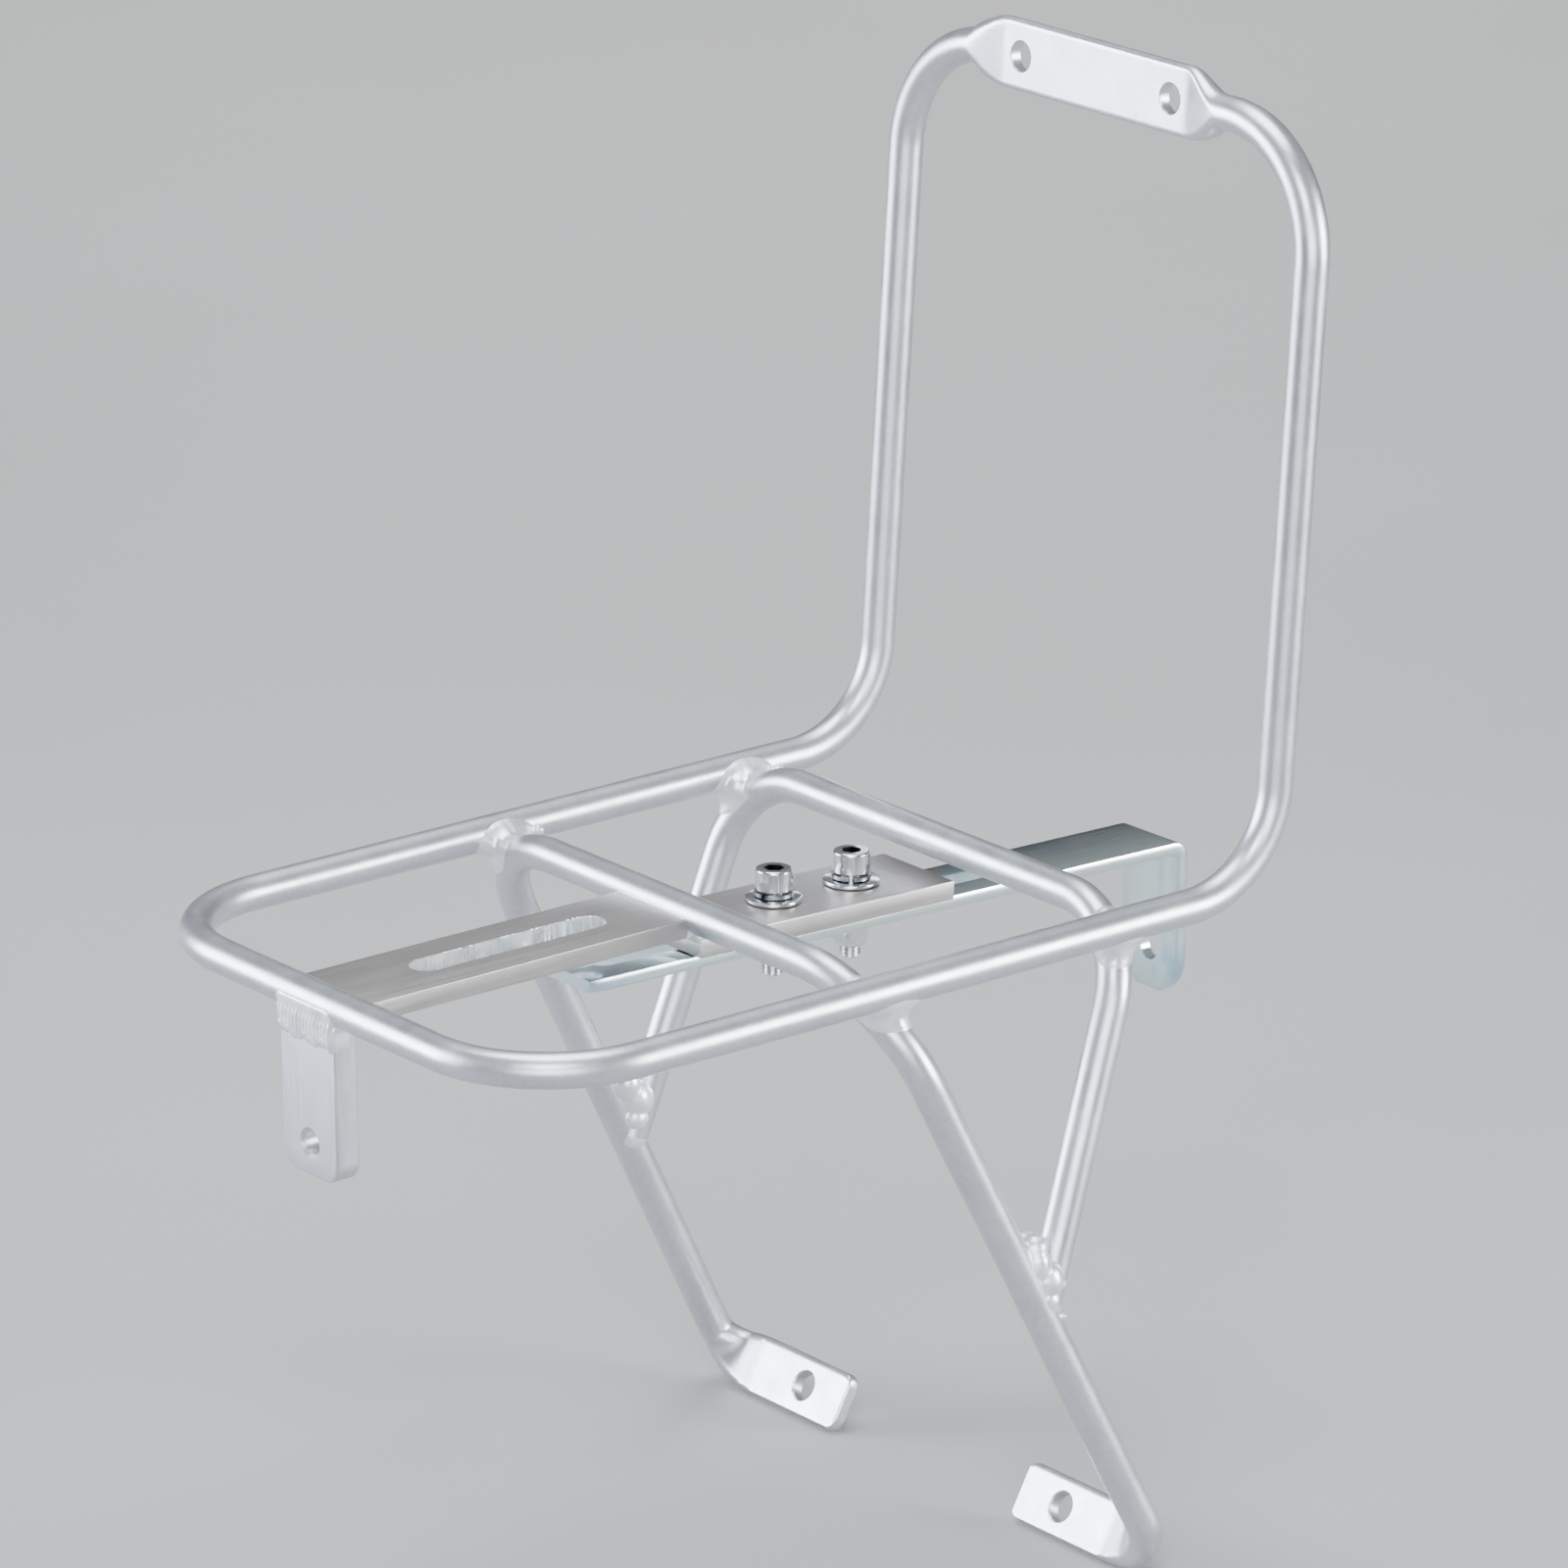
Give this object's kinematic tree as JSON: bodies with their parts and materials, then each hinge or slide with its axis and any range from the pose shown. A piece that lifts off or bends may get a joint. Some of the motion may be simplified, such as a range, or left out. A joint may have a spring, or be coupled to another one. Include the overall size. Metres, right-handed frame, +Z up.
{
  "type": "bicycle luggage rack",
  "caption": "Small welded rod luggage rack for a bicycle: flat platform rising into a tall hoop, inverted-U legs with flat drilled feet, bolted sliding slotted tongue.",
  "frame": {"origin": "midway between the centres of the holes in the two feet", "axes": "+X from the lamp tab towards the hoop, +Y across the platform to the far side, +Z up, square to the platform"},
  "size_m": [0.2427, 0.164, 0.3282],
  "materials": {
    "rod_aluminium": "satin",
    "bar_aluminium": "brushed",
    "zinc_steel": "bright zinc plated",
    "screw_steel": "polished",
    "weld_metal": "as welded"
  },
  "bodies": {
    "rack": {"main_hoop_rod": "rod_aluminium", "front_leg_rod": "rod_aluminium", "rear_strut_rod": "rod_aluminium", "front_slotted_plate": "bar_aluminium", "rear_clamp_plate": "bar_aluminium", "lamp_tab": "bar_aluminium", "cap_screw_front": "screw_steel", "spring_washer_front": "screw_steel", "top_washer_front": "screw_steel", "bottom_washer_front": "screw_steel", "lock_nut_front": "screw_steel", "cap_screw_rear": "screw_steel", "spring_washer_rear": "screw_steel", "top_washer_rear": "screw_steel", "bottom_washer_rear": "screw_steel", "lock_nut_rear": "screw_steel", "weld_rail_front_near": "weld_metal", "weld_rail_front_far": "weld_metal", "weld_rail_rear_near": "weld_metal", "weld_rail_rear_far": "weld_metal", "weld_strut_near": "weld_metal", "weld_strut_far": "weld_metal", "weld_tab_outer": "weld_metal", "weld_tab_inner": "weld_metal", "weld_plate_cross": "weld_metal", "weld_clamp_front": "weld_metal", "weld_clamp_rear": "weld_metal"},
    "tongue": {"tongue_strip": "zinc_steel"}
  },
  "joints": [
    {"name": "tongue_slide", "type": "slide", "parent": "rack", "child": "tongue", "axis": [0.9996, 0, -0.028], "range_m": [-0.0395, 0.0475]}
  ]
}
